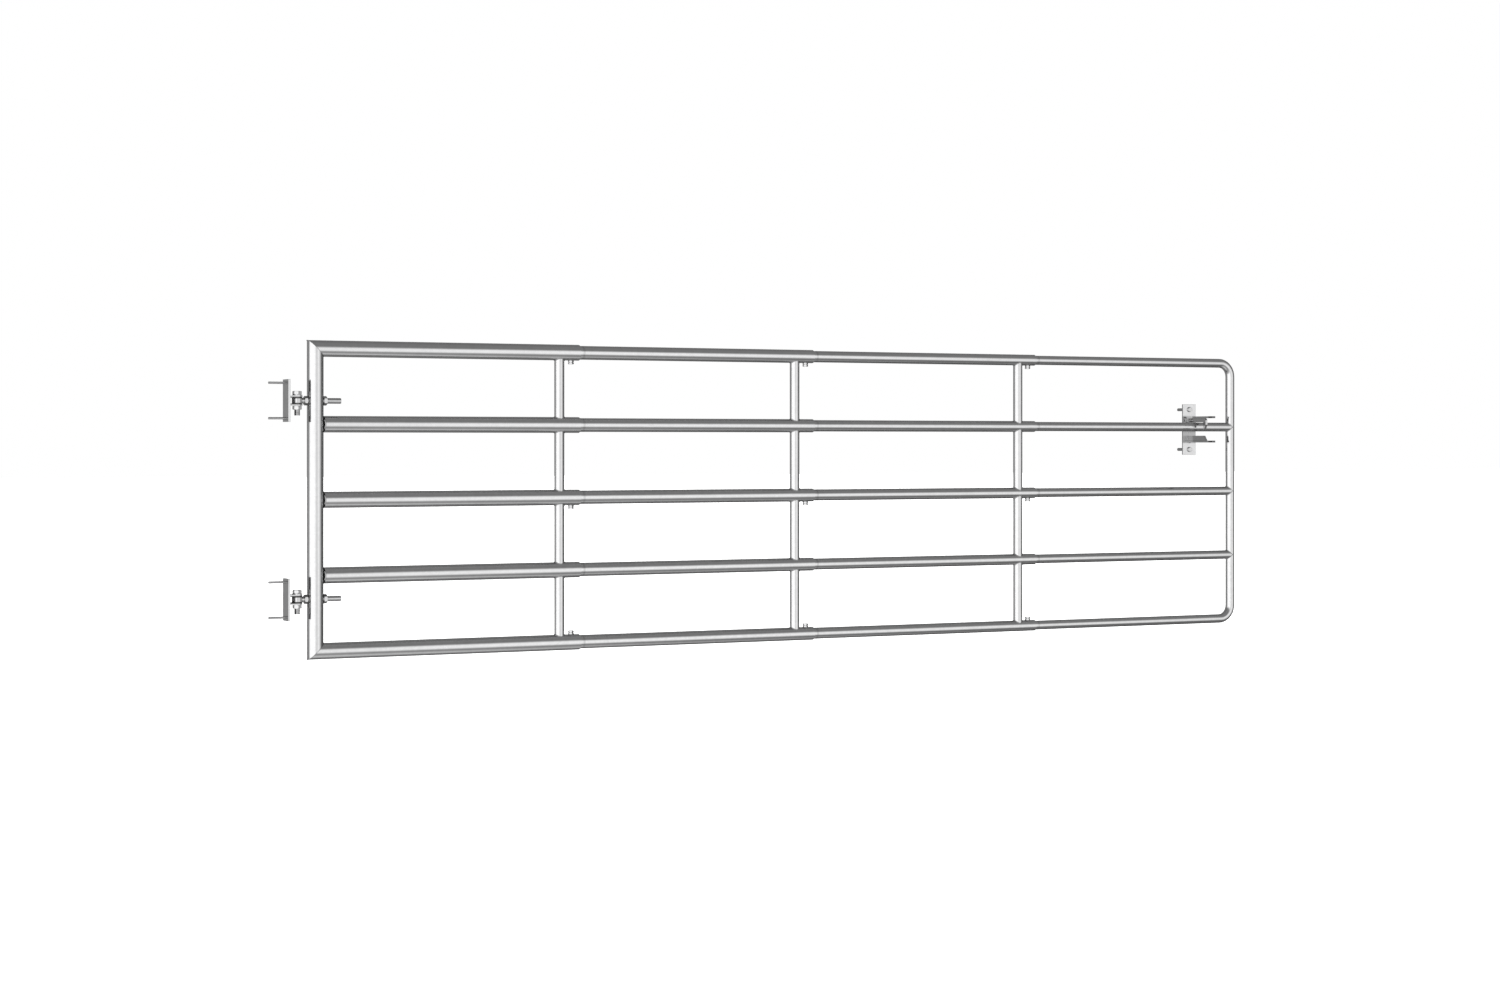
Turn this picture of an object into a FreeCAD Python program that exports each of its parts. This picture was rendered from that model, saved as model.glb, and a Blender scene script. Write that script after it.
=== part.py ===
import FreeCAD, Part
import math
import os

# Telescopic five-rail field gate with adjustable hinges and a wall catch.  Sizes in millimetres.
# X runs along the closed gate, away from the hinge wall; Y points to the far side of the gate;
# Z is up.  The origin is the centre of the lower hinge plate's back face, against the wall.

# ---- leaf ----
leaf_height = 1100.0        # between the centre lines of the top and bottom rails
rail_count = 5
section_1_length = 1040.0   # stile centre line to the open ends of the first tubes
section_2_length = 1011.0   # showing length of the second tubes
section_3_length = 1046.0   # showing length of the third tubes
section_4_length = 1005.0   # third tube ends to the centre line of the closing upright
insertion = 150.0           # length of each inner tube that stays inside the outer one
outer_tube = 60.0           # outside diameter of the first section
walls = [2.9, 2.6, 2.6, 2.6]    # wall thickness, section by section
slide_gap = 1.0             # radial clearance between one tube and the next
brace_tube = 38.0           # outside diameter of the uprights between the rails
brace_wall = 2.6
brace_inset = 79.0          # open tube end to the brace's centre line
hoop_bend = 58.0            # bend radius of the closing hoop, on its centre line
root_gap = 0.3              # gap left for the weld where one tube meets another

# ---- pressure screws that lock the telescopic sections ----
screw_size = 12.0
screw_fit = 0.05            # radial clearance of a screw in its nut
screw_inset = 31.0          # open tube end to the screw's axis
screw_head_flats = 19.0
screw_head_height = 7.0
screw_head_lift = 0.5       # head to nut when the screw is tight
screw_tip_gap = 0.3         # tip to the inner tube
weld_nut_height = 6.5
weld_nut_flats = 19.0
screw_rails = [0, 2, 4]     # rails that carry a screw, counted from the bottom

screw_hole_fit = 0.5        # radial clearance of a screw in the outer tube
hex_face_share = 0.95       # flat round face of a nut or head, as a share of its flats
hex_chamfer = 30.0          # slope of its turned corners, in degrees
plate_edge = 1.0            # radius on the edges of plates and flat bars

# ---- hinges ----
hinge_inset = 190.0         # top or bottom rail centre line to the hinge
hinge_plate_width = 68.0
hinge_plate_height = 154.0
hinge_plate_thickness = 8.0
plate_to_pin = 35.0         # plate's front face to the pin's axis
ear_thickness = 8.0
eye_diameter = 38.0
eye_height = 20.5
eye_side_gap = 0.5          # eye to each ear
eye_neck = 6.0              # eye to the outer nut
pin_diameter = 20.0
pin_fit = 0.08              # radial clearance of the pin in the eye
ear_fit = 0.25              # radial clearance of the pin in the ears
pin_washer_height = 3.0
pin_washer_diameter = 37.0
pin_nut_height = 14.0
pin_tail = 21.0             # thread below the pin's nut
rod_diameter = 20.0
rod_fit = 0.5               # radial clearance of the rod in the stile
rod_tail = 53.0             # thread past the inner nut
nut_flats = 30.0
nut_height = 13.0
nut_fit = 0.05              # radial clearance of a nut on its thread
hinge_anchor_pitch = 128.0
hinge_anchor_size = 8.0
hinge_anchor_depth = 64.0   # behind the plate
hinge_anchor_flats = 13.0
hinge_anchor_head = 5.5
anchor_fit = 0.5            # radial clearance of an anchor's thread in its plate
anchor_shoulder = 0.3       # how much the plain shank in the plate is larger in radius than the thread

# ---- wall catch ----
catch_rail = 3              # rail held by the catch, counted from the bottom
catch_inset = 170.0         # closing upright's centre line to the catch's centre
catch_back_gap = 41.0       # rail to the catch plate's front face
catch_plate_width = 67.0
catch_plate_height = 217.0
catch_plate_thickness = 8.0
catch_anchor_pitch = 172.0
catch_anchor_size = 12.0
catch_anchor_depth = 73.0
catch_anchor_flats = 19.0
catch_anchor_head = 7.5
bar_width = 16.0            # flat bars of the finger and the jaw
bar_thickness = 8.0
bar_reach = 115.0           # gate's centre plane to the bars' front ends
bar_tip_radius = 3.0
web_thickness = 10.0
web_reach = 66.0            # gate's centre plane to the front of the hook and the jaw's web
hook_lift = 1.5             # rail to the hook's underside
hook_web = 17.0
hook_front_gap = 30.0       # rail to the back of the hook's nose
hook_drop = 12.0            # nose's end, below the rail's centre line
hook_heel_gap = 0.3         # heel to the plate, where the finger comes to rest
jaw_gap = 18.5              # rail to the jaw's web
jaw_web = 21.0
jaw_lead = 15.0             # slope on the front of the jaw's web
pivot_diameter = 8.0
pivot_fit = 0.1             # radial clearance of the finger on its pivot
pivot_back = 20.0           # plate's front face to the pivot's axis
pivot_head = 2.5
pivot_head_diameter = 12.0
bar_back_gap = 3.5          # back end of the thumb bar to the cheeks
cheek_thickness = 8.0
cheek_gap = 0.5             # web to each cheek

# ---- places worked out from the sizes ----
pitch = leaf_height / (rail_count - 1)
rail_z = [pitch * i - hinge_inset for i in range(rail_count)]
bottom_z = rail_z[0]
top_z = rail_z[-1]
hinge_z = {"lower": 0.0, "upper": leaf_height - 2 * hinge_inset}
tube_od = [outer_tube]
for wall in walls[:-1]:
    tube_od.append(tube_od[-1] - 2 * wall - 2 * slide_gap)
tube_r = [od / 2 for od in tube_od]
pin_x = hinge_plate_thickness + plate_to_pin
ear_outside = eye_height / 2 + eye_side_gap + ear_thickness     # eye's middle to an ear's outer face
stile_x = pin_x + eye_diameter / 2 + eye_neck + nut_height + tube_r[0]
open_end = [stile_x + section_1_length]
open_end.append(open_end[0] + section_2_length)
open_end.append(open_end[1] + section_3_length)
closing_x = open_end[2] + section_4_length

rail_r = tube_r[3]
catch_x = closing_x - catch_inset
web_x = catch_x - bar_width / 2 + web_thickness / 2     # webs are flush with one side of the bars
catch_rail_z = rail_z[catch_rail]
plate_front = rail_r + catch_back_gap
plate_back = plate_front + catch_plate_thickness
hook_low = rail_r + hook_lift
finger_low = hook_low + hook_web
jaw_high = -rail_r - jaw_gap
jaw_low = jaw_high - jaw_web
catch_mid_z = catch_rail_z + (finger_low + bar_thickness + jaw_low - bar_thickness) / 2
pivot_y = plate_front - pivot_back
pivot_z = catch_rail_z + hook_low + hook_web / 2

AXES = {"x": FreeCAD.Vector(1, 0, 0), "y": FreeCAD.Vector(0, 1, 0), "z": FreeCAD.Vector(0, 0, 1)}


# ---- shapes ----
def rod(axis, radius, start, length):
    """A solid round bar from a start point along an axis, either way."""
    direction = AXES[axis] if length > 0 else AXES[axis] * -1
    return Part.makeCylinder(radius, abs(length), FreeCAD.Vector(*start), direction)


def tube(axis, radius, wall, start, length):
    """A round tube."""
    return rod(axis, radius, start, length).cut(rod(axis, radius - wall, start, length))


def block(x, y, z):
    """A box from its lower and upper bounds."""
    size = [high - low for low, high in (x, y, z)]
    return Part.makeBox(*size, FreeCAD.Vector(x[0], y[0], z[0]))


def plate_block(x, y, z):
    """A plate from its bounds, with its edges rounded."""
    plate = block(x, y, z)
    thin = min(high - low for low, high in (x, y, z))
    return plate.makeFillet(min(plate_edge, thin / 3), plate.Edges)


def outline(points):
    """A flat face through a list of points."""
    corners = [FreeCAD.Vector(*p) for p in points]
    return Part.Face(Part.makePolygon(corners + corners[:1]))


def hexagon(axis, flats, start, height):
    """A hexagonal head or nut blank, with the corners turned off both faces."""
    reach = flats / math.sqrt(3)
    turned = flats / 2 * hex_face_share
    rise = (reach - turned) * math.tan(math.radians(hex_chamfer))
    direction = AXES[axis]
    side = AXES["y"] if axis == "z" else AXES["z"]      # two corners lie on this line
    other = direction.cross(side)
    near = FreeCAD.Vector(*start)
    far = near + direction * height
    turns = [math.radians(60 * i) for i in range(6)]
    corners = [near + side * (reach * math.cos(turn)) + other * (reach * math.sin(turn)) for turn in turns]
    prism = Part.Face(Part.makePolygon(corners + corners[:1])).extrude(direction * height)
    ends = [Part.makeCone(turned, reach, rise, point, way)
            for point, way in ((near, direction), (far, -direction))]
    middle = Part.makeCylinder(reach, height - 2 * rise, near + direction * rise, direction)
    return prism.common(middle.fuse(ends)).removeSplitter()


def write(name, shapes):
    """Write one node: a single solid, or a group of separate ones."""
    shapes = shapes if isinstance(shapes, list) else [shapes]
    solids = [solid for shape in shapes for solid in shape.Solids]
    whole = solids[0] if len(solids) == 1 else Part.makeCompound(solids)
    whole.exportStep("parts/" + name + ".step")
    print(name, len(solids), "solid(s)", round(sum(s.Volume for s in solids)), "mm3", whole.isValid())


# ---- section 1: mitred frame ----
def mitred(body, points):
    """Keep the part of a tube inside an outline drawn in the plane of the leaf."""
    depth = 2 * outer_tube
    keep = outline([(x, -outer_tube, z) for x, z in points])
    return body.common(keep.extrude(FreeCAD.Vector(0, depth, 0)))


def make_stile():
    reach = outer_tube
    body = tube("z", tube_r[0], walls[0], (stile_x, 0, bottom_z - reach), leaf_height + 2 * reach)
    body = mitred(body, [(stile_x - reach, top_z + reach), (stile_x + reach, top_z - reach),
                         (stile_x + reach, bottom_z + reach), (stile_x - reach, bottom_z - reach)])
    for z in hinge_z.values():
        body = body.cut(rod("x", rod_diameter / 2 + rod_fit, (stile_x - outer_tube, 0, z), 2 * outer_tube))
    return body


def make_mitred_rail(z, side):
    """Top (side 1) or bottom (side -1) rail of the first section."""
    reach = outer_tube
    body = tube("x", tube_r[0], walls[0], (stile_x - reach, 0, z), section_1_length + reach)
    return mitred(body, [(stile_x - reach, z + side * reach), (open_end[0], z + side * reach),
                         (open_end[0], z - side * reach), (stile_x + reach, z - side * reach)])


def make_butted_rail(z):
    """Middle rail of the first section: square, closed with a disc and butted to the stile's side."""
    start = stile_x + tube_r[0] + root_gap
    body = tube("x", tube_r[0], walls[0], (start, 0, z), open_end[0] - start)
    return body.fuse(rod("x", tube_r[0], (start, 0, z), walls[0])).removeSplitter()


def screw_side(rail):
    """Screws point up into a rail from below, except on the bottom rail."""
    return 1 if rail == 0 else -1


def with_screw_hole(body, section, rail):
    """Drill the outer tube for its pressure screw."""
    if rail not in screw_rails:
        return body
    x = open_end[section] - screw_inset
    length = screw_side(rail) * 2 * tube_r[section]
    return body.cut(rod("z", screw_size / 2 + screw_hole_fit, (x, 0, rail_z[rail]), length))


# ---- sections 2 to 4 ----
def make_sliding_rail(section, z):
    start = open_end[section - 1] - insertion
    return tube("x", tube_r[section], walls[section], (start, 0, z), open_end[section] - start)


def make_braces(section):
    """Short uprights between the rails, coped at both ends."""
    x = open_end[section] - brace_inset
    pieces = []
    for low, high in zip(rail_z[:-1], rail_z[1:]):
        piece = tube("z", brace_tube / 2, brace_wall, (x, 0, low), high - low)
        for z in (low, high):
            cope = rod("x", tube_r[section] + root_gap, (x - brace_tube, 0, z), 2 * brace_tube)
            piece = piece.cut(cope)
        pieces.append(piece)
    return pieces


def ring_face(centre, direction, radius, wall):
    """The cross-section of a tube."""
    edges = [Part.makeCircle(r, centre, direction) for r in (radius, radius - wall)]
    outer, inner = [Part.Face(Part.Wire([edge])) for edge in edges]
    return outer.cut(inner)


def make_hoop():
    """One bent tube: top rail, closing upright and bottom rail."""
    start = open_end[2] - insertion
    straight = closing_x - hoop_bend
    radius = tube_r[3]
    wall = walls[3]
    pieces = [tube("z", radius, wall, (closing_x, 0, bottom_z + hoop_bend), leaf_height - 2 * hoop_bend)]
    for z, side in ((top_z, 1), (bottom_z, -1)):
        pieces.append(tube("x", radius, wall, (start, 0, z), straight - start))
        section = ring_face(FreeCAD.Vector(straight, 0, z), AXES["x"], radius, wall)
        centre = FreeCAD.Vector(straight, 0, z - side * hoop_bend)
        pieces.append(section.revolve(centre, AXES["y"], side * 90))
    return pieces[0].fuse(pieces[1:]).removeSplitter()


def make_closing_rail(z):
    """Middle rail of the last section, coped to the closing upright."""
    start = open_end[2] - insertion
    body = tube("x", tube_r[3], walls[3], (start, 0, z), closing_x - start)
    return body.cut(rod("z", tube_r[3] + root_gap, (closing_x, 0, z - outer_tube), 2 * outer_tube))


# ---- pressure screws ----
def make_weld_nut(section, rail):
    x = open_end[section] - screw_inset
    side = screw_side(rail)
    face = rail_z[rail] + side * tube_r[section]
    low = face if side > 0 else face - weld_nut_height
    nut = hexagon("z", weld_nut_flats, (x, 0, low), weld_nut_height)
    return nut.cut(rod("z", screw_size / 2 + screw_fit, (x, 0, low), weld_nut_height))


def make_screw(section, rail):
    """A pressure screw, tight against the inner tube."""
    x = open_end[section] - screw_inset
    side = screw_side(rail)
    tip = tube_r[section + 1] + screw_tip_gap
    head = tube_r[section] + weld_nut_height + screw_head_lift
    shank = rod("z", screw_size / 2, (x, 0, rail_z[rail] + side * tip), side * (head - tip))
    low = rail_z[rail] + (head if side > 0 else -head - screw_head_height)
    return shank.fuse(hexagon("z", screw_head_flats, (x, 0, low), screw_head_height)).removeSplitter()


# ---- hinges ----
def make_wall_bolt(axis, start, way, size, plate, depth, flats, head):
    """An anchor bolt: start is on the plate's front face, way is the side the head is on."""
    shoulder = rod(axis, size / 2 + anchor_shoulder, start, -way * plate)
    thread = rod(axis, size / 2, start, -way * (plate + depth))
    low = list(start)
    if way < 0:
        low["xyz".index(axis)] -= head
    return shoulder.fuse([thread, hexagon(axis, flats, low, head)]).removeSplitter()


def make_hinge_plate(z):
    half_width = hinge_plate_width / 2
    half_height = hinge_plate_height / 2
    plate = plate_block((0, hinge_plate_thickness), (-half_width, half_width),
                        (z - half_height, z + half_height))
    for side in (-1, 1):
        place = (0, 0, z + side * hinge_anchor_pitch / 2)
        plate = plate.cut(rod("x", hinge_anchor_size / 2 + anchor_fit, place, hinge_plate_thickness))
    return plate


def make_hinge_anchors(z):
    return [make_wall_bolt("x", (hinge_plate_thickness, 0, z + side * hinge_anchor_pitch / 2), 1,
                           hinge_anchor_size, hinge_plate_thickness, hinge_anchor_depth,
                           hinge_anchor_flats, hinge_anchor_head)
            for side in (-1, 1)]


def make_hinge_ears(z):
    """The two ears of the clevis, above and below the eye."""
    radius = eye_diameter / 2
    ears = []
    for side in (-1, 1):
        near = z + side * (eye_height / 2 + eye_side_gap)
        low = min(near, near + side * ear_thickness)
        arm = block((hinge_plate_thickness, pin_x), (-radius, radius), (low, low + ear_thickness))
        ear = arm.fuse(rod("z", radius, (pin_x, 0, low), ear_thickness)).removeSplitter()
        ears.append(ear.cut(rod("z", pin_diameter / 2 + ear_fit, (pin_x, 0, low), ear_thickness)))
    return ears


def make_hinge_pin(z):
    """A hexagon-headed bolt through the ears and the eye, with its washer under the head."""
    seat = z + ear_outside + pin_washer_height
    length = pin_washer_height + 2 * ear_outside + pin_nut_height + pin_tail
    shank = rod("z", pin_diameter / 2, (pin_x, 0, seat), -length)
    return shank.fuse(hexagon("z", nut_flats, (pin_x, 0, seat), nut_height)).removeSplitter()


def make_pin_washer(z):
    start = (pin_x, 0, z + ear_outside)
    bore = rod("z", pin_diameter / 2 + ear_fit, start, pin_washer_height)
    return rod("z", pin_washer_diameter / 2, start, pin_washer_height).cut(bore)


def make_pin_nut(z):
    start = (pin_x, 0, z - ear_outside - pin_nut_height)
    bore = rod("z", pin_diameter / 2 + nut_fit, start, pin_nut_height)
    return hexagon("z", nut_flats, start, pin_nut_height).cut(bore)


def make_eyebolt(z):
    """The eye on the pin and the threaded rod through the stile."""
    low = z - eye_height / 2
    radius = eye_diameter / 2
    neck = pin_x + radius
    end = stile_x + tube_r[0] + nut_height + rod_tail
    eye = rod("z", radius, (pin_x, 0, low), eye_height)
    slab = block((pin_x, neck), (-radius, radius), (low, low + eye_height))
    flattened = rod("x", rod_diameter / 2, (pin_x, 0, z), radius).common(slab)
    threaded = rod("x", rod_diameter / 2, (neck, 0, z), end - neck)
    body = eye.fuse([flattened, threaded]).removeSplitter()
    return body.cut(rod("z", pin_diameter / 2 + pin_fit, (pin_x, 0, low), eye_height))


def make_eyebolt_nuts(z):
    """One nut on each side of the stile; they set the gate's line."""
    nuts = []
    for start in (stile_x - tube_r[0] - nut_height, stile_x + tube_r[0]):
        bore = rod("x", rod_diameter / 2 + nut_fit, (start, 0, z), nut_height)
        nuts.append(hexagon("x", nut_flats, (start, 0, z), nut_height).cut(bore))
    return nuts


# ---- wall catch ----
def make_catch_plate():
    half_width = catch_plate_width / 2
    half_height = catch_plate_height / 2
    plate = plate_block((catch_x - half_width, catch_x + half_width), (plate_front, plate_back),
                  (catch_mid_z - half_height, catch_mid_z + half_height))
    for side in (-1, 1):
        place = (catch_x, plate_front, catch_mid_z + side * catch_anchor_pitch / 2)
        plate = plate.cut(rod("y", catch_anchor_size / 2 + anchor_fit, place, catch_plate_thickness))
    return plate


def make_catch_anchors():
    return [make_wall_bolt("y", (catch_x, plate_front, catch_mid_z + side * catch_anchor_pitch / 2), -1,
                           catch_anchor_size, catch_plate_thickness, catch_anchor_depth,
                           catch_anchor_flats, catch_anchor_head)
            for side in (-1, 1)]


def make_flat_bar(low, back):
    """A flat bar with rounded front corners, from its back end to the common reach."""
    half = bar_width / 2
    bar = block((catch_x - half, catch_x + half), (-bar_reach, back), (low, low + bar_thickness))
    tips = [edge for edge in bar.Edges
            if abs(edge.CenterOfMass.y + bar_reach) < 0.01 and abs(edge.Length - bar_thickness) < 0.01]
    bar = bar.makeFillet(min(bar_tip_radius, bar_width / 3), tips)
    rims = [edge for edge in bar.Edges if edge.CenterOfMass.y < back - 0.01 and
            abs(edge.BoundBox.ZMax - edge.BoundBox.ZMin) < 0.01]
    return bar.makeFillet(min(plate_edge, bar_thickness / 3), rims)


def make_web(points):
    """A plate standing in the plane across the gate, flush with the bars' hinge side."""
    half = web_thickness / 2
    face = outline([(web_x - half, y, catch_rail_z + z) for y, z in points])
    return face.extrude(FreeCAD.Vector(web_thickness, 0, 0))


def make_finger_hook():
    """The hook that drops in front of the rail; its heel rests on the plate."""
    heel = plate_front - hook_heel_gap
    nose = -rail_r - hook_front_gap
    mid = hook_low + hook_web / 2
    swing = heel - pivot_y                  # the heel's upper corner turns inside this radius
    corner = pivot_y + math.sqrt(max(swing ** 2 - (hook_web / 2) ** 2, 0))
    web = make_web([(heel, hook_low), (heel, mid), (corner, finger_low),
                    (-web_reach + hook_web / 2, finger_low), (-web_reach, mid),
                    (-web_reach, rail_r / 2), (nose - rail_r / 3, -hook_drop), (nose, -hook_drop),
                    (nose, hook_low)])
    half = web_thickness / 2
    bore = rod("x", pivot_diameter / 2 + pivot_fit, (web_x - half, pivot_y, pivot_z), web_thickness)
    return web.cut(bore)


def make_finger_bar():
    """The thumb bar welded on the hook; its back end stays short of the cheeks."""
    return make_flat_bar(catch_rail_z + finger_low, pivot_y - hook_web / 2 - bar_back_gap)


def make_jaw():
    """The fixed jaw under the rail: flat bar and web in one weldment."""
    bar = make_flat_bar(catch_rail_z + jaw_low - bar_thickness, plate_front)
    web = make_web([(plate_front, jaw_low), (plate_front, jaw_high),
                    (-web_reach + jaw_lead, jaw_high), (-web_reach, jaw_low)])
    return bar.fuse(web).removeSplitter()


def make_cheeks():
    """Two cheeks welded to the plate that carry the finger's pivot."""
    radius = hook_web / 2
    cheeks = []
    for side in (-1, 1):
        near = web_x + side * (web_thickness / 2 + cheek_gap)
        low = min(near, near + side * cheek_thickness)
        arm = block((low, low + cheek_thickness), (pivot_y, plate_front),
                    (pivot_z - radius, pivot_z + radius))
        cheek = arm.fuse(rod("x", radius, (low, pivot_y, pivot_z), cheek_thickness)).removeSplitter()
        bore = rod("x", pivot_diameter / 2 + pivot_fit, (low, pivot_y, pivot_z), cheek_thickness)
        cheeks.append(cheek.cut(bore))
    return cheeks


def make_pivot_pin():
    """A rivet through both cheeks and the finger."""
    half = web_thickness / 2 + cheek_gap + cheek_thickness
    pin = rod("x", pivot_diameter / 2, (web_x - half, pivot_y, pivot_z), 2 * half)
    heads = [rod("x", pivot_head_diameter / 2, (web_x + side * half, pivot_y, pivot_z), side * pivot_head)
             for side in (-1, 1)]
    return pin.fuse(heads).removeSplitter()


# ---- build every node ----
os.makedirs("parts", exist_ok=True)
RAIL_NAMES = ["bottom", "lower", "middle", "upper", "top"]

write("hinge_stile", make_stile())
for index, name in enumerate(RAIL_NAMES):
    z = rail_z[index]
    if index == 0:
        first = make_mitred_rail(z, -1)
    elif index == rail_count - 1:
        first = make_mitred_rail(z, 1)
    else:
        first = make_butted_rail(z)
    write("section_1_%s_rail" % name, with_screw_hole(first, 0, index))
    for section in (1, 2):
        sliding = make_sliding_rail(section, z)
        write("section_%d_%s_rail" % (section + 1, name), with_screw_hole(sliding, section, index))
    if 0 < index < rail_count - 1:
        write("section_4_%s_rail" % name, make_closing_rail(z))
write("section_4_hoop", make_hoop())

for section in range(3):
    write("section_%d_braces" % (section + 1), make_braces(section))
    write("section_%d_weld_nuts" % (section + 1), [make_weld_nut(section, rail) for rail in screw_rails])
    for rail in screw_rails:
        write("section_%d_%s_screw" % (section + 1, RAIL_NAMES[rail]), make_screw(section, rail))

for place, z in hinge_z.items():
    write(place + "_hinge_plate", make_hinge_plate(z))
    write(place + "_hinge_anchors", make_hinge_anchors(z))
    write(place + "_hinge_ears", make_hinge_ears(z))
    write(place + "_hinge_pin", make_hinge_pin(z))
    write(place + "_pin_washer", make_pin_washer(z))
    write(place + "_pin_nut", make_pin_nut(z))
    write(place + "_eyebolt", make_eyebolt(z))
    write(place + "_eyebolt_nuts", make_eyebolt_nuts(z))

write("catch_plate", make_catch_plate())
write("catch_anchors", make_catch_anchors())
write("catch_cheeks", make_cheeks())
write("catch_jaw", make_jaw())
write("catch_pivot_pin", make_pivot_pin())
write("catch_finger_hook", make_finger_hook())
write("catch_finger_bar", make_finger_bar())
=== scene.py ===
# %% [markdown]
# # A telescopic field gate
# The gate is a leaf of round galvanised tubes in four sections that slide into each other. It hangs on two
# eyebolt hinges, and a small catch on the far wall holds one rail. The engineering model arrives as a fixed
# frame, so this lesson only gives every piece its finish, adds the small things that a drawing leaves out,
# such as welds and threads, and sets up a studio.

# %% Load the frame
import bpy
import bmesh
import math
from mathutils import Matrix, Vector


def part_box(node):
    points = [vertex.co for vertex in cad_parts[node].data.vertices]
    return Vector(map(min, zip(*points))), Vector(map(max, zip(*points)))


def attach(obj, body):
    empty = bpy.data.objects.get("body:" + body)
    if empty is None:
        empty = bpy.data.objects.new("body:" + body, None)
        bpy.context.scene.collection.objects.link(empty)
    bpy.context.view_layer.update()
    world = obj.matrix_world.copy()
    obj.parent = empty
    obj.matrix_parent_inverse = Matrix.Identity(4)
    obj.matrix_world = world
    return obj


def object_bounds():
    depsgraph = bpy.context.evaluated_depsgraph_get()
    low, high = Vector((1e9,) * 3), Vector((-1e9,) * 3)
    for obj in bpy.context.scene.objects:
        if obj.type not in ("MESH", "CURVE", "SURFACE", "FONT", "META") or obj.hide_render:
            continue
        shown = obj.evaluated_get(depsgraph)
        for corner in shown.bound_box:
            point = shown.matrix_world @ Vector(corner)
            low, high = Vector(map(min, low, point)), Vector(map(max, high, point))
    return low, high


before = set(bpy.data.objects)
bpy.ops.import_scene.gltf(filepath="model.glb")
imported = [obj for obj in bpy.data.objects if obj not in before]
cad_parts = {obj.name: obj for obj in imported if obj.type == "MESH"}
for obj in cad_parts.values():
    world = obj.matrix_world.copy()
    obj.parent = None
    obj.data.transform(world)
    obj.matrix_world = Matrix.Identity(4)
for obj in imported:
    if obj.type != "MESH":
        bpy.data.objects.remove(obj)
CAD_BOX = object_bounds()

# %% [markdown]
# ## The camera
# The leaf is seen from its hinge side, level and from waist height, through a 65 mm lens. The place is
# measured from the stile, so it follows the gate. The lens is shifted down a little, which keeps every
# upright vertical.

# %% Set up the camera
stile_low, stile_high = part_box("hinge_stile")
stile_middle = (Vector(stile_low) + Vector(stile_high)) / 2
camera_from_stile = Vector((-3.070, -9.478, 0.208))
camera_heading = -27.068        # degrees, counted from looking along Y
camera_data = bpy.data.cameras.new("studio_camera")
camera_data.lens = 65.0
camera_data.sensor_width = 36.0
camera_data.shift_y = -0.03825
camera = bpy.data.objects.new("studio_camera", camera_data)
camera.location = stile_middle + camera_from_stile
camera.rotation_euler = (math.radians(90), 0, math.radians(camera_heading))
bpy.context.scene.collection.objects.link(camera)
bpy.context.scene.camera = camera
print("camera at", [round(v, 3) for v in camera.location])

# %% [markdown]
# ## Sums on sockets
# A shader is a graph, but its arithmetic reads best as arithmetic. `Value` wraps a socket and overloads the
# operators, so `1 - mask * 0.4` adds its Math nodes by itself. `Graph` holds one node tree, and its `node`
# method adds any other node from its type, its settings and what goes into its sockets.

# %% Write the shader helpers
class Value:
    """A number in a shader that can be used in sums."""

    def __init__(self, finish, socket):
        self.finish = finish
        self.socket = socket

    def sum_with(self, operation, first, second=None):
        inputs = {0: first} if second is None else {0: first, 1: second}
        return self.finish.node("ShaderNodeMath", {"operation": operation}, inputs)

    def __add__(self, other):
        return self.sum_with("ADD", self, other)

    def __radd__(self, other):
        return self.sum_with("ADD", other, self)

    def __sub__(self, other):
        return self.sum_with("SUBTRACT", self, other)

    def __rsub__(self, other):
        return self.sum_with("SUBTRACT", other, self)

    def __mul__(self, other):
        return self.sum_with("MULTIPLY", self, other)

    def __rmul__(self, other):
        return self.sum_with("MULTIPLY", other, self)

    def __truediv__(self, other):
        return self.sum_with("DIVIDE", self, other)

    def __rtruediv__(self, other):
        return self.sum_with("DIVIDE", other, self)

    def size(self):
        return self.sum_with("ABSOLUTE", self)


class Graph:
    """A node tree with short ways to add to it."""

    def __init__(self, tree):
        self.tree = tree
        tree.nodes.clear()

    def node(self, kind, settings=None, inputs=None, output=0):
        """Add a node: settings first, then numbers or links into its sockets."""
        made = self.tree.nodes.new(kind)
        for name, value in (settings or {}).items():
            if name == "stops":
                ramp = made.color_ramp
                while len(ramp.elements) < len(value):
                    ramp.elements.new(0.5)
                for element, (place, shade) in zip(ramp.elements, value):
                    element.position = place
                    element.color = (shade, shade, shade, 1) if isinstance(shade, float) else (*shade, 1)
            else:
                setattr(made, name, value)
        for name, value in (inputs or {}).items():
            if isinstance(value, Value):
                self.tree.links.new(value.socket, made.inputs[name])
            else:
                made.inputs[name].default_value = value
        return Value(self, made.outputs[output]) if made.outputs else None

    def smooth(self, value, low, high, to_low=0.0, to_high=1.0):
        """A soft step: value from low to high becomes to_low to to_high."""
        return self.node("ShaderNodeMapRange", {"interpolation_type": "SMOOTHSTEP"},
                         {"Value": value, "From Min": low, "From Max": high,
                          "To Min": to_low, "To Max": to_high})

    def band(self, value, rise, fall):
        """1 between two soft edges and 0 outside them; each edge is given by where it starts and ends."""
        return self.smooth(value, *rise) * self.smooth(value, *fall, 1.0, 0.0)

    def part(self, vector, name):
        """One coordinate of a vector."""
        return self.node("ShaderNodeSeparateXYZ", inputs={0: vector}, output=name)


# %% [markdown]
# ## The studio
# Bright zinc has hardly any colour of its own: it shows the room round it. An upright tube mirrors the room
# all the way round at eye level, and a tube that lies flat mirrors it from the ceiling, over the front, to
# the floor. So the room is painted in the world shader as two simple runs of brightness. One goes round the
# compass: a white wall on the left, a softer front and a dim back and right. The other goes from the floor
# to the ceiling. The camera itself sees plain white. Real lamps and cards could do the same, but they would
# leave hard shapes on the tubes.

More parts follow.
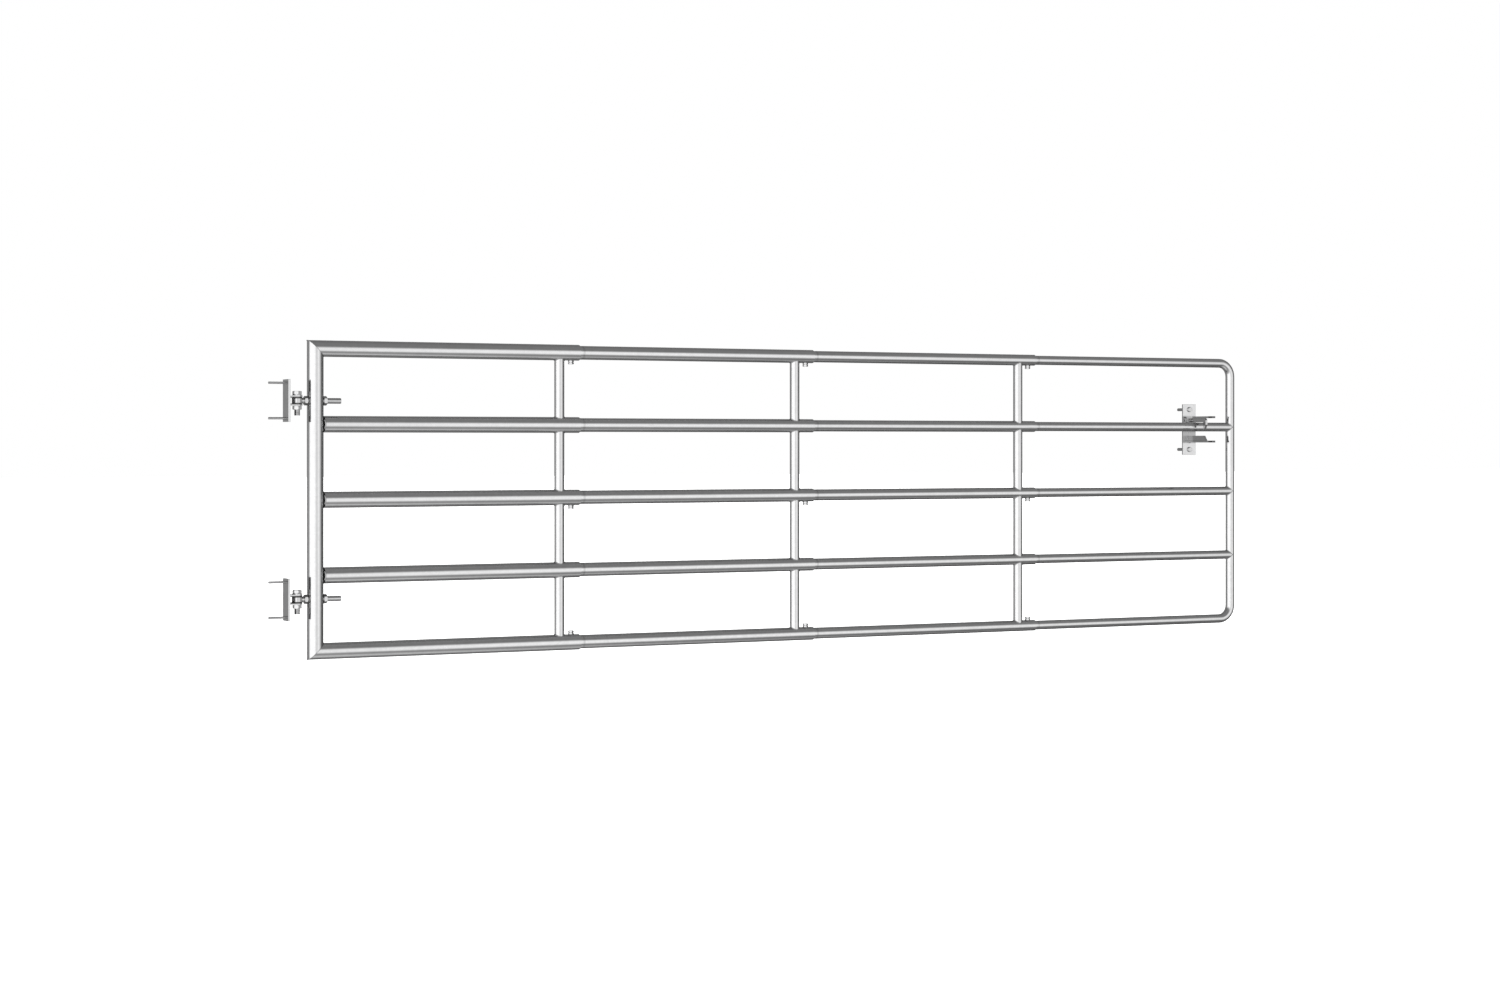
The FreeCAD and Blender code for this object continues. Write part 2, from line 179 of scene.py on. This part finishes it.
# %% Paint the room
# Each pair is a place on the compass, as a share of a turn that starts at -X and passes -Y first, and the
# wall's brightness there.
ROUND = [(0.000, 1.85), (0.060, 1.85), (0.160, 1.80), (0.205, 1.45), (0.235, 1.12),
         (0.280, 1.22), (0.315, 1.50), (0.350, 1.30), (0.390, 0.95), (0.430, 0.42),
         (0.465, 0.18), (0.500, 0.15), (0.600, 0.13), (0.700, 0.17), (0.760, 0.30),
         (0.800, 0.36), (0.890, 0.36), (0.930, 0.42), (0.975, 1.40), (1.000, 1.85)]
BRIGHTEST = 2.0         # a ramp holds colours up to 1, so the levels are divided by this and multiplied again

world = bpy.data.worlds.new("studio_room")
bpy.context.scene.world = world
world.use_nodes = True
room = Graph(world.node_tree)
direction = room.node("ShaderNodeTexCoord", output="Generated")
east, north, up = [room.part(direction, name) for name in "XYZ"]
compass = room.node("ShaderNodeMath", {"operation": "ARCTAN2"}, {0: north, 1: east}) / (2 * math.pi) + 0.5
stops = [(place, level / BRIGHTEST) for place, level in ROUND]
walls = room.node("ShaderNodeValToRGB", {"stops": stops}, {0: compass}) * BRIGHTEST
above = room.smooth(up, 0.10, 0.60)
below = room.smooth(up, -0.68, -0.24, 1.0, 0.0)
ceiling = room.smooth(north, -0.3, 0.4, 0.30, 0.24)
floor_glow = 0.46 + room.smooth(up, -0.97, -0.74, 0.42, 0.0) * room.smooth(north, -0.1, 0.3, 1.0, 0.0)
ground = floor_glow * room.smooth(north, -0.1, 0.5, 1.0, 0.55) * room.smooth(east, 0.28, 0.60, 1.0, 0.42)
glow = walls * (1 - above) * (1 - below) + ceiling * above + ground * below
seen = room.node("ShaderNodeLightPath", output="Is Camera Ray")
strength = glow * (1 - seen) + seen
light = room.node("ShaderNodeBackground", inputs={"Color": (1, 1, 1, 1), "Strength": strength})
room.node("ShaderNodeOutputWorld", inputs={"Surface": light})
print("room: %d levels round the compass" % len(ROUND))

# %% [markdown]
# The floor is a wide pale sheet a hand's breadth under the bottom rail, lit by one broad soft sun. The
# sheet and the sun are kept out of mirror reflections, so they don't draw lines on the tubes, and the light
# is strong enough for the shadow to wash out.

# %% Lay the floor and set the sun
floor_gap = 0.13
floor_half = 60.0
floor_x = 2.0           # about half way along the gate
floor_mesh = bpy.data.meshes.new("studio_floor")
sheet = bmesh.new()
bmesh.ops.create_grid(sheet, x_segments=1, y_segments=1, size=floor_half,
                      matrix=Matrix.Translation((floor_x, 0, CAD_BOX[0][2] - floor_gap)))
sheet.to_mesh(floor_mesh)
sheet.free()
floor = bpy.data.objects.new("studio_floor", floor_mesh)
bpy.context.scene.collection.objects.link(floor)
floor.visible_glossy = False
floor_finish = bpy.data.materials.new("pale_floor")
floor_finish.use_nodes = True
paper = Graph(floor_finish.node_tree)
matt = paper.node("ShaderNodeBsdfDiffuse", inputs={"Color": (0.86, 0.86, 0.86, 1)})
paper.node("ShaderNodeOutputMaterial", inputs={"Surface": matt})
floor_mesh.materials.append(floor_finish)

sun = bpy.data.lights.new("sky_wash", "SUN")
sun.energy = 5.5
sun.angle = math.radians(60)
wash = bpy.data.objects.new("sky_wash", sun)
wash.visible_glossy = False
bpy.context.scene.collection.objects.link(wash)
bpy.context.scene.view_settings.view_transform = "Standard"
print("floor at", round(CAD_BOX[0][2] - floor_gap, 3))

# %% [markdown]
# ## Galvanised steel
# Hot zinc leaves a skin that is bright but never quite even: faint crystals, long drawing lines from the
# tube mill and a soft change in gloss from cloud to cloud. The crystals are cells of a Voronoi texture
# whose coordinates are bent a little by noise, the lines are noise stretched along the tube, and each only
# nudges the colour and the roughness, as a new gate is nearly even. All of it reads Object coordinates, so
# it stays put when a section slides. A picture of zinc could be wrapped round the tubes instead, but it
# would show its edges and repeat. Four marks of painted shade come with it: a sliding tube is painted
# darker in a ring just outside each mouth that it goes into, where the outer tube's end shades it, the ends
# of the catch's bars are painted dark for the shade that their rounded ends catch, each hinge eye is painted
# dark in the gaps between it and its ears, and the catch plate is painted darker and a little rougher
# between the jaw and the bar, for the shade round the rail and the catch's webs.

# %% Make the zinc finish
def galvanised(name, along, shade, roughness, crystal=0.010, mottle=1.0, scuff=0.0, shaded_mouths=(),
               end_shade_up_to=None, eye_gap_shade=False, shade_heights=None):
    """Bright zinc over steel.

    along is the way the drawing lines run, crystal is the size of the crystals, and mottle is how much they
    show. scuff adds slide marks. The last four arguments paint shade: a darker ring just outside each tube
    mouth at the places along X given, darker bar ends up to the place along Y given, dark gaps on both sides
    of each hinge eye, and a darker band between the pair of heights given.
    """
    material = bpy.data.materials.new(name)
    material.use_nodes = True
    zinc = Graph(material.node_tree)
    place = zinc.node("ShaderNodeTexCoord", output="Object")
    stretch = [0.03 if axis == along else 1.0 for axis in "xyz"]
    drawn = zinc.node("ShaderNodeMapping", inputs={"Vector": place, "Scale": stretch})
    lines = zinc.node("ShaderNodeTexNoise", inputs={"Vector": drawn, "Scale": 380.0, "Detail": 3.0})
    cloud = zinc.node("ShaderNodeTexNoise", inputs={"Vector": place, "Scale": 7.0, "Detail": 4.0})
    drift = zinc.node("ShaderNodeTexNoise", inputs={"Vector": place, "Scale": 60.0}, output=1)
    bent = zinc.node("ShaderNodeMix", {"data_type": "VECTOR"},
                     {"Factor": 0.012, 4: place, 5: drift}, output=1)
    cells = zinc.node("ShaderNodeTexVoronoi", inputs={"Vector": bent, "Scale": 1 / crystal}, output=1)
    flake = zinc.node("ShaderNodeSeparateColor", inputs={0: cells})
    tone = shade + ((flake - 0.5) * 0.035 + (cloud - 0.5) * 0.07 + (lines - 0.5) * 0.03) * mottle
    gloss = roughness + ((cloud - 0.5) * 0.07 + (flake - 0.5) * 0.03) * mottle
    if scuff:
        marks = zinc.smooth(lines, 0.56, 0.70) * zinc.smooth(cloud, 0.42, 0.60) * scuff
        tone = tone - marks * 0.12
        gloss = gloss + marks * 0.18
    # Painted shade: a darker ring just outside each mouth, where the outer tube's end shades the tube that
    # slides in.
    for mouth in shaded_mouths:
        past_mouth = zinc.part(place, "X") - mouth
        tone = tone - zinc.band(past_mouth, (0.008, 0.012), (0.016, 0.021)) * 0.10
    # Painted shade: the bars are painted darker towards their ends, for the shade that their rounded ends
    # catch.
    if end_shade_up_to:
        tone = tone * zinc.smooth(zinc.part(place, "Y"), end_shade_up_to, end_shade_up_to + 0.012, 0.22, 1.0)
    # Painted shade: a dark band on each side of a hinge eye, for the shade in the gaps between the eye and
    # its ears.
    if eye_gap_shade:
        from_eye = ((zinc.part(place, "Z") - HINGE_MIDDLE).size() - HINGE_HALF).size()
        gap_shade = zinc.band(from_eye, (0.0070, 0.0085), (0.0135, 0.0150))
        tone = tone * (1 - gap_shade * 0.85)
        gloss = gloss + gap_shade * 0.2
    # Painted shade: the plate is painted darker, and a little rougher, between the jaw and the bar, for the
    # shade round the rail and the catch's webs.
    if shade_heights:
        low, high = shade_heights
        plate_shade = zinc.band(zinc.part(place, "Z"), (low - 0.006, low + 0.002), (high - 0.002, high + 0.006))
        tone = tone * (1 - plate_shade * 0.36)
        gloss = gloss + plate_shade * 0.08
    colour = zinc.node("ShaderNodeCombineColor", inputs={0: tone, 1: tone, 2: tone * 1.006})
    relief = zinc.node("ShaderNodeBump", inputs={"Strength": 0.16, "Distance": 0.00002,
                                                  "Height": lines * 0.7 + flake * 0.5})
    steel = zinc.node("ShaderNodeBsdfPrincipled",
                      inputs={"Base Color": colour, "Metallic": 1.0, "Roughness": gloss, "Normal": relief})
    zinc.node("ShaderNodeOutputMaterial", inputs={"Surface": steel})
    return material


MOUTHS = [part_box("section_%d_middle_rail" % number)[1].x for number in (1, 2, 3)]
BAR_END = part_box("catch_finger_bar")[0].y
BAR_SHADE_LENGTH = 0.022        # how far back from their ends the catch's bars are painted dark, as painted shade
HINGES = ("lower", "upper")
EYE_LEVELS = [sum(corner.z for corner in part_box(place + "_eyebolt")) / 2 for place in HINGES]
HINGE_MIDDLE = sum(EYE_LEVELS) / 2
HINGE_HALF = (EYE_LEVELS[1] - EYE_LEVELS[0]) / 2
# The heights between which the catch plate is painted darker, as painted shade.
SHADED_HEIGHTS = (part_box("catch_jaw")[0].z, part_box("catch_finger_bar")[1].z)
FINISHES = {
    "rails": galvanised("galvanised_rails", "x", 0.56, 0.10),
    "sliding": galvanised("galvanised_sliding_rails", "x", 0.56, 0.10, scuff=0.5, shaded_mouths=MOUTHS),
    "uprights": galvanised("galvanised_uprights", "z", 0.56, 0.10),
    "plate": galvanised("galvanised_plate", "z", 0.56, 0.10, crystal=0.014, mottle=1.2),
    "catch_plate": galvanised("shaded_plate", "z", 0.56, 0.10, crystal=0.014, mottle=1.2, shade_heights=SHADED_HEIGHTS),
    "ears": galvanised("galvanised_ears", "z", 0.50, 0.14, crystal=0.008, mottle=1.2, eye_gap_shade=True),
    "eyebolt": galvanised("zinc_eyebolts", "x", 0.50, 0.09, crystal=0.003, eye_gap_shade=True),
    "fastener": galvanised("zinc_fasteners", "z", 0.50, 0.09, crystal=0.003),
    "catch": galvanised("catch_steel", "y", 0.50, 0.18, crystal=0.012, mottle=1.2, scuff=0.6,
                        end_shade_up_to=BAR_END + BAR_SHADE_LENGTH),
    "weld": galvanised("welded_zinc", "z", 0.40, 0.22, crystal=0.004, mottle=1.8),
    "thread": galvanised("threaded_zinc", "y", 0.24, 0.20, crystal=0.003),
    # Painted shade: the pin threads are painted much darker than the anchors' threads, for the shade that the
    # flanks of a coarse thread catch.
    "shaded_thread": galvanised("shaded_thread", "z", 0.13, 0.22, crystal=0.003),
}
print("finishes:", ", ".join(FINISHES))

# %% [markdown]
# Each node of the engineering model takes its finish from its name. The tubes that slide have long faint
# scuffs, the plates show larger crystals than the tubes, and the ears and the small pieces of the catch are a
# little duller and rougher.

# %% Give every node its finish
def finish_for(node):
    """Choose a node's finish from its name."""
    if "stile" in node or "braces" in node:
        return "uprights"
    if "hoop" in node or node.endswith("_rail"):
        return "rails" if node.startswith("section_1") else "sliding"
    if "ears" in node:
        return "ears"
    if node.endswith("_eyebolt"):
        return "eyebolt"
    if node == "catch_plate":
        return "catch_plate"
    if node.endswith("_plate"):
        return "plate"
    if "jaw" in node or "finger" in node or "cheeks" in node:
        return "catch"
    return "fastener"


for name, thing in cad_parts.items():
    for socket in thing.material_slots:
        socket.material = FINISHES[finish_for(name)]
print("finished nodes:", len(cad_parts))

# %% [markdown]
# ## Tools for small pieces
# A drawing leaves out the welds and the threads, but the eye misses them at once. Every one of them is
# added as a new piece that lies on the steel and rides with it. The helpers below join several shapes into
# one mesh, put the mesh in the scene with its finish, and turn a shape made round Z so that it points some
# other way.

# %% Write the piece helpers
def middle_of(node):
    """The middle of a node's box, and half its size."""
    low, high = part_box(node)
    return (Vector(low) + Vector(high)) / 2, (Vector(high) - Vector(low)) / 2


def pointing(way, place):
    """A matrix that turns Z towards way and then moves to place."""
    return Matrix.Translation(place) @ Vector(way).to_track_quat("Z", "Y").to_matrix().to_4x4()


def joined(shapes):
    """Several bmeshes as one; the small ones are freed."""
    whole = bmesh.new()
    for shape in shapes:
        held = bpy.data.meshes.new("held")
        shape.to_mesh(held)
        shape.free()
        whole.from_mesh(held)
        bpy.data.meshes.remove(held)
    return whole


def place_piece(name, shapes, finish, body, soft=True):
    """Join the shapes into one named piece that rides on a body; soft pieces have smooth shading."""
    whole = joined(shapes)
    bmesh.ops.recalc_face_normals(whole, faces=whole.faces[:])
    mesh = bpy.data.meshes.new(name)
    whole.to_mesh(mesh)
    whole.free()
    if soft:
        mesh.shade_smooth()
    mesh.materials.append(FINISHES[finish])
    piece = bpy.data.objects.new(name, mesh)
    bpy.context.scene.collection.objects.link(piece)
    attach(piece, body)
    print(name, len(mesh.polygons), "faces")


print("helpers ready")

# %% [markdown]
# ## Weld beads
# Where one tube meets another the welder runs round the joint and leaves a small rippled bead. Round a
# brace the bead lies on a saddle, because the rail under it curves away. A bead could be a bevelled curve,
# but a small circle spun round the brace gives even faces and closes on itself. Afterwards each point is
# lifted by the height of the saddle and pushed out or in a little, ripple by ripple.

# %% Make a bead that goes round a tube
RIPPLE = 0.0032      # from one ripple of the weld to the next
SWELL = 0.10         # how much a ripple stands out, as a share of the bead
BEAD_SIDES = 8
STEPS = 4            # faces along each ripple
# Each bead's thickness, as the radius of its circle.
BEAD = {"brace": 0.0021, "nut": 0.0014, "stile": 0.0024, "mitre": 0.0012, "rail": 0.0018,
        "ear": 0.0026, "cheek": 0.0022, "jaw": 0.0024, "bar": 0.0020}


def round_bead(radius, thick, saddle, share=1.0, start=0.0, blend_in=1.0):
    """A bead round Z that lies on a tube along X.

    saddle is the tube's radius, share is the part of a turn that the bead covers from the angle start, and
    blend_in is how far it follows the saddle down.
    """
    bead = bmesh.new()
    turn = 2 * math.pi * share
    ripples = max(4, round(turn * radius / RIPPLE))
    bmesh.ops.create_circle(bead, cap_ends=share < 1, segments=BEAD_SIDES, radius=thick,
                            matrix=Matrix.Translation((radius, 0, 0)) @ Matrix.Rotation(math.pi / 2, 4, "X"))
    bmesh.ops.rotate(bead, verts=bead.verts[:], cent=(0, 0, 0), matrix=Matrix.Rotation(start, 3, "Z"))
    bmesh.ops.spin(bead, geom=bead.verts[:] + bead.edges[:] + bead.faces[:],
                   cent=(0, 0, 0), axis=(0, 0, 1), angle=turn,
                   steps=ripples * STEPS, use_merge=share == 1)
    for point in bead.verts:
        angle = math.atan2(point.co.y, point.co.x)
        core = Vector((radius * math.cos(angle), radius * math.sin(angle), 0))
        swell = 1 + SWELL * math.sin((angle - start) * ripples / share)
        height = math.sqrt(max(saddle ** 2 - core.y ** 2, 0)) if saddle else 0
        point.co = core + (point.co - core) * swell + Vector((0, 0, saddle + (height - saddle) * blend_in))
    return bead


print("ripple", RIPPLE)

# %% [markdown]
# A straight bead runs along the foot of an ear or a web. It starts as a capped circle, which is pushed out
# step by step, and its ends are drawn in so that they look like the crater where the welder stops.

# %% Make a straight bead
def straight_bead(start, end, thick):
    """A rippled bead from one point to another."""
    run = Vector(end) - Vector(start)
    ripples = max(3, round(run.length / RIPPLE))
    steps = ripples * STEPS
    bead = bmesh.new()
    bmesh.ops.create_circle(bead, cap_ends=True, segments=BEAD_SIDES, radius=thick)
    face = bead.faces[:]
    for _ in range(steps):
        grown = bmesh.ops.extrude_face_region(bead, geom=face)["geom"]
        face = [item for item in grown if isinstance(item, bmesh.types.BMFace)]
        moved = [item for item in grown if isinstance(item, bmesh.types.BMVert)]
        bmesh.ops.translate(bead, verts=moved, vec=(0, 0, run.length / steps))
    inner = [item for item in bead.faces if len(item.verts) == BEAD_SIDES
             and 1e-6 < item.calc_center_median().z < run.length - 1e-6]
    bmesh.ops.delete(bead, geom=inner, context="FACES_ONLY")
    for point in bead.verts:
        along = min(max(point.co.z / run.length, 0), 1)
        ripple = 1 + SWELL * math.sin(along * ripples * 2 * math.pi)
        crater = 0.45 + 0.55 * math.sin(along * math.pi) ** 0.3
        swell = ripple * crater
        point.co = Vector((point.co.x * swell, point.co.y * swell, point.co.z))
    bmesh.ops.transform(bead, matrix=pointing(run, start), verts=bead.verts[:])
    return bead


print("straight beads ready")

# %% [markdown]
# The beads of one section make one piece. Each brace has a bead at both ends, each pressure screw's nut has
# one round its foot, and the places come from the nodes' own boxes.

# %% Weld the braces and the screw nuts
ROWS = ["bottom", "lower", "middle", "upper", "top"]
FACING = {1: (0, 0, 1), -1: (0, 0, -1)}
SCREW_ROWS = [(0, 1), (2, -1), (4, -1)]     # the row that carries a screw, and the side that it is on
BRACE_CLEAR = 0.0004                        # middle of the bead to the brace's wall


def section_beads(number):
    """Beads round the braces and nuts of one section."""
    beads = []
    levels = []
    for row in ROWS:
        node = "section_%d_%s_rail" % (number, row)
        middle, half = middle_of(node)
        levels.append((middle.z, half.z))
    brace, brace_half = middle_of("section_%d_braces" % number)
    for place, (level, radius) in enumerate(levels):
        for side in (1, -1):
            if 0 <= place + (0 if side > 0 else -1) < len(ROWS) - 1:
                bead = round_bead(brace_half.x + BRACE_CLEAR, BEAD["brace"], radius)
                foot = pointing(FACING[side], (brace.x, 0, level))
                bmesh.ops.transform(bead, matrix=foot, verts=bead.verts[:])
                beads.append(bead)
    nut, nut_half = middle_of("section_%d_weld_nuts" % number)
    for place, side in SCREW_ROWS:
        level, radius = levels[place]
        bead = round_bead(nut_half.x, BEAD["nut"], radius)
        bmesh.ops.transform(bead, matrix=pointing(FACING[side], (nut.x, 0, level)), verts=bead.verts[:])
        beads.append(bead)
    return beads


section_welds = {number: section_beads(number) for number in (1, 2, 3)}
print("beads by section:", {number: len(beads) for number, beads in section_welds.items()})

# %% [markdown]
# The middle rails of the first section are cut square and meet the stile at its line nearest to them.
# Each has two short beads on the rim of its end, one in front and one behind. Each is a part of a turn
# round the rail and follows half of the stile's curve, so it stays on the rim, clear of the stile. At the
# two corners the tubes are mitred, and the bead there is ground nearly flush: a thin ring, slanted by 45
# degrees with a shear so that it follows the cut.

# %% Weld the first section's frame
stile, stile_half = middle_of("hinge_stile")
tube_radius = stile_half.x
weld_share = 0.17       # of a turn round the rail
for row in ROWS[1:-1]:
    rail = middle_of("section_1_%s_rail" % row)[0]
    for half_turns in (1.5, 0.5):
        bead = round_bead(tube_radius, BEAD["stile"], tube_radius, share=weld_share,
                          start=-weld_share * math.pi, blend_in=0.5)
        bmesh.ops.rotate(bead, verts=bead.verts[:], cent=(0, 0, 0),
                         matrix=Matrix.Rotation(half_turns * math.pi, 3, "Z"))
        bead_place = Matrix.Translation((stile.x, 0, rail.z)) @ Matrix.Rotation(math.pi / 2, 4, "Y")
        bmesh.ops.transform(bead, matrix=bead_place, verts=bead.verts[:])
        section_welds[1].append(bead)
seam_sunk = 0.0004
for row, side in (("top", 1), ("bottom", -1)):
    rail = middle_of("section_1_%s_rail" % row)[0]
    seam = round_bead(tube_radius - seam_sunk, BEAD["mitre"], 0)
    slant = Matrix.Identity(4)
    slant[0][2] = -side
    bmesh.ops.transform(seam, matrix=Matrix.Rotation(math.pi / 2, 4, "Y"), verts=seam.verts[:])
    bmesh.ops.transform(seam, matrix=Matrix.Translation((stile.x, 0, rail.z)) @ slant, verts=seam.verts[:])
    section_welds[1].append(seam)
for number, beads in section_welds.items():
    place_piece("section_%d_welds" % number, beads, "weld", "section_%d" % number)

# %% [markdown]
# The last section has no braces. Its three middle rails are coped to the closing upright, which is the same
# size, so the saddle is at its deepest there.

# %% Weld the closing rails
hoop, hoop_half = middle_of("section_4_hoop")
closing_beads = []
for row in ROWS[1:-1]:
    rail, rail_half = middle_of("section_4_%s_rail" % row)
    bead = round_bead(rail_half.z, BEAD["rail"], rail_half.z)
    place = Vector((hoop.x + hoop_half.x - rail_half.z, 0, rail.z))
    turned = Matrix.Translation(place) @ Matrix.Rotation(-math.pi / 2, 4, "Y")
    bmesh.ops.transform(bead, matrix=turned, verts=bead.verts[:])
    closing_beads.append(bead)
place_piece("section_4_welds", closing_beads, "weld", "section_4")

# %% [markdown]
# On the wall, the ears are welded to their plates above and below, and the jaw and the cheeks to the catch
# plate along both sides. The thumb bar has one short bead beside the hook that carries it.

# %% Weld the wall pieces and the thumb bar
wall_beads = []
for place in HINGES:
    ears_low, ears_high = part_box(place + "_hinge_ears")
    foot = ears_low.x + 0.0004
    for level in (ears_low.z, ears_high.z):
        wall_beads.append(straight_bead((foot, ears_low.y, level), (foot, ears_high.y, level), BEAD["ear"]))
plate_low, plate_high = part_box("catch_plate")
jaw_low, jaw_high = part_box("catch_jaw")
cheeks_low, cheeks_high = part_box("catch_cheeks")
hook_low, hook_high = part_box("catch_finger_hook")
bar_low, bar_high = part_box("catch_finger_bar")
face = plate_low.y
bar_thick = 0.009       # the jaw's bar and its weld
for x in (cheeks_low.x, cheeks_high.x):
    wall_beads.append(straight_bead((x, face, cheeks_low.z), (x, face, cheeks_high.z), BEAD["cheek"]))
for x in (hook_low.x, hook_high.x):
    wall_beads.append(straight_bead((x, face, jaw_low.z + bar_thick), (x, face, jaw_high.z), BEAD["jaw"]))
wall_beads.append(straight_bead((jaw_low.x, face, jaw_low.z), (jaw_high.x, face, jaw_low.z), BEAD["jaw"]))
place_piece("wall_welds", wall_beads, "weld", "wall_fixings")
bar_bead = straight_bead((hook_high.x, bar_high.y - 0.012, bar_low.z),
                         (hook_high.x, hook_low.y + 0.014, bar_low.z), BEAD["bar"])
place_piece("thumb_bar_weld", [bar_bead], "weld", "catch_finger")

# %% [markdown]
# ## Threads
# A bolt's thread is a ridge that winds round it. A bump texture of slanted stripes would be lighter, but
# its outline stays straight, and the stripes slide on a round end. Here a small blunt tooth is spun round the
# axis while it moves along, which is just how the thread is cut. Only the parts that show get one, and it
# is kept shallow because zinc fills the bottom of a galvanised thread.

# %% Make a thread
# Radius and pitch of the three coarse threads on the gate.
LARGE, MIDDLE, SMALL = (0.010, 0.0025), (0.006, 0.00175), (0.004, 0.00125)


def thread(place, way, length, size, depth, around=12, sink=0.0002):
    """A ridge that winds along a rod from place, in the direction way; its foot is sunk into the rod."""
    radius, pitch = size
    turns = max(1, int(length / pitch) - 1)
    ridge = bmesh.new()
    corners = [ridge.verts.new((radius + out, 0, pitch * (0.5 + along)))
               for out, along in ((-sink, -0.42), (depth, -0.08), (depth, 0.08), (-sink, 0.42))]
    ridge.faces.new(corners)
    bmesh.ops.spin(ridge, geom=ridge.verts[:] + ridge.edges[:] + ridge.faces[:],
                   cent=(0, 0, 0), axis=(0, 0, 1), dvec=(0, 0, pitch / around),
                   angle=2 * math.pi * turns, steps=around * turns)
    bmesh.ops.transform(ridge, matrix=pointing(way, place), verts=ridge.verts[:])
    return ridge


print("threads ready")

# %% [markdown]
# The eyebolts' threads go through the stile with a nut on each side, the hinge pins end in a short thread
# under their nuts, and the anchors show their threads behind the plates, where the wall would be. The
# anchors are in pairs, so their places come from the ends of the pair's box, which are the corners of their
# heads.

# %% Cut the threads
CORNER = 1 / math.cos(math.radians(30))     # a hexagon's corners against its flats
eyebolt_threads, pin_threads, anchor_threads = [], [], []
for place in HINGES:
    bolt_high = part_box(place + "_eyebolt")[1]
    nuts_low, nuts_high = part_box(place + "_eyebolt_nuts")
    pin_low, pin_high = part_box(place + "_hinge_pin")
    nut_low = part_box(place + "_pin_nut")[0]
    level = (nuts_low.z + nuts_high.z) / 2
    tail = bolt_high.x - nuts_high.x
    eyebolt_threads.append(thread((nuts_high.x, 0, level), (1, 0, 0), tail, LARGE, 0.00007,
                                  around=40, sink=0.00005))
    pin_x = (pin_low.x + pin_high.x) / 2
    pin_threads.append(thread((pin_x, 0, nut_low.z), (0, 0, -1), nut_low.z - pin_low.z, LARGE, 0.0004,
                              around=16))
    anchors_low, anchors_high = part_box(place + "_hinge_anchors")
    hinge_plate_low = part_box(place + "_hinge_plate")[0]
    head = (anchors_high.y - anchors_low.y) / 2 * CORNER
    length = hinge_plate_low.x - anchors_low.x
    for level in (anchors_low.z + head, anchors_high.z - head):
        anchor_threads.append(thread((hinge_plate_low.x, 0, level), (-1, 0, 0), length, SMALL, 0.0002))
studs_low, studs_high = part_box("catch_anchors")
studs_middle = (studs_low.x + studs_high.x) / 2
head = (studs_high.x - studs_low.x) / 2 * CORNER
length = studs_high.y - plate_high.y
for level in (studs_low.z + head, studs_high.z - head):
    anchor_threads.append(thread((studs_middle, plate_high.y, level), (0, 1, 0), length, MIDDLE, 0.00025))
place_piece("eyebolt_threads", eyebolt_threads, "eyebolt", "section_1",
            soft=False)
place_piece("pin_threads", pin_threads, "shaded_thread", "wall_fixings")
place_piece("anchor_threads", anchor_threads, "thread", "wall_fixings")
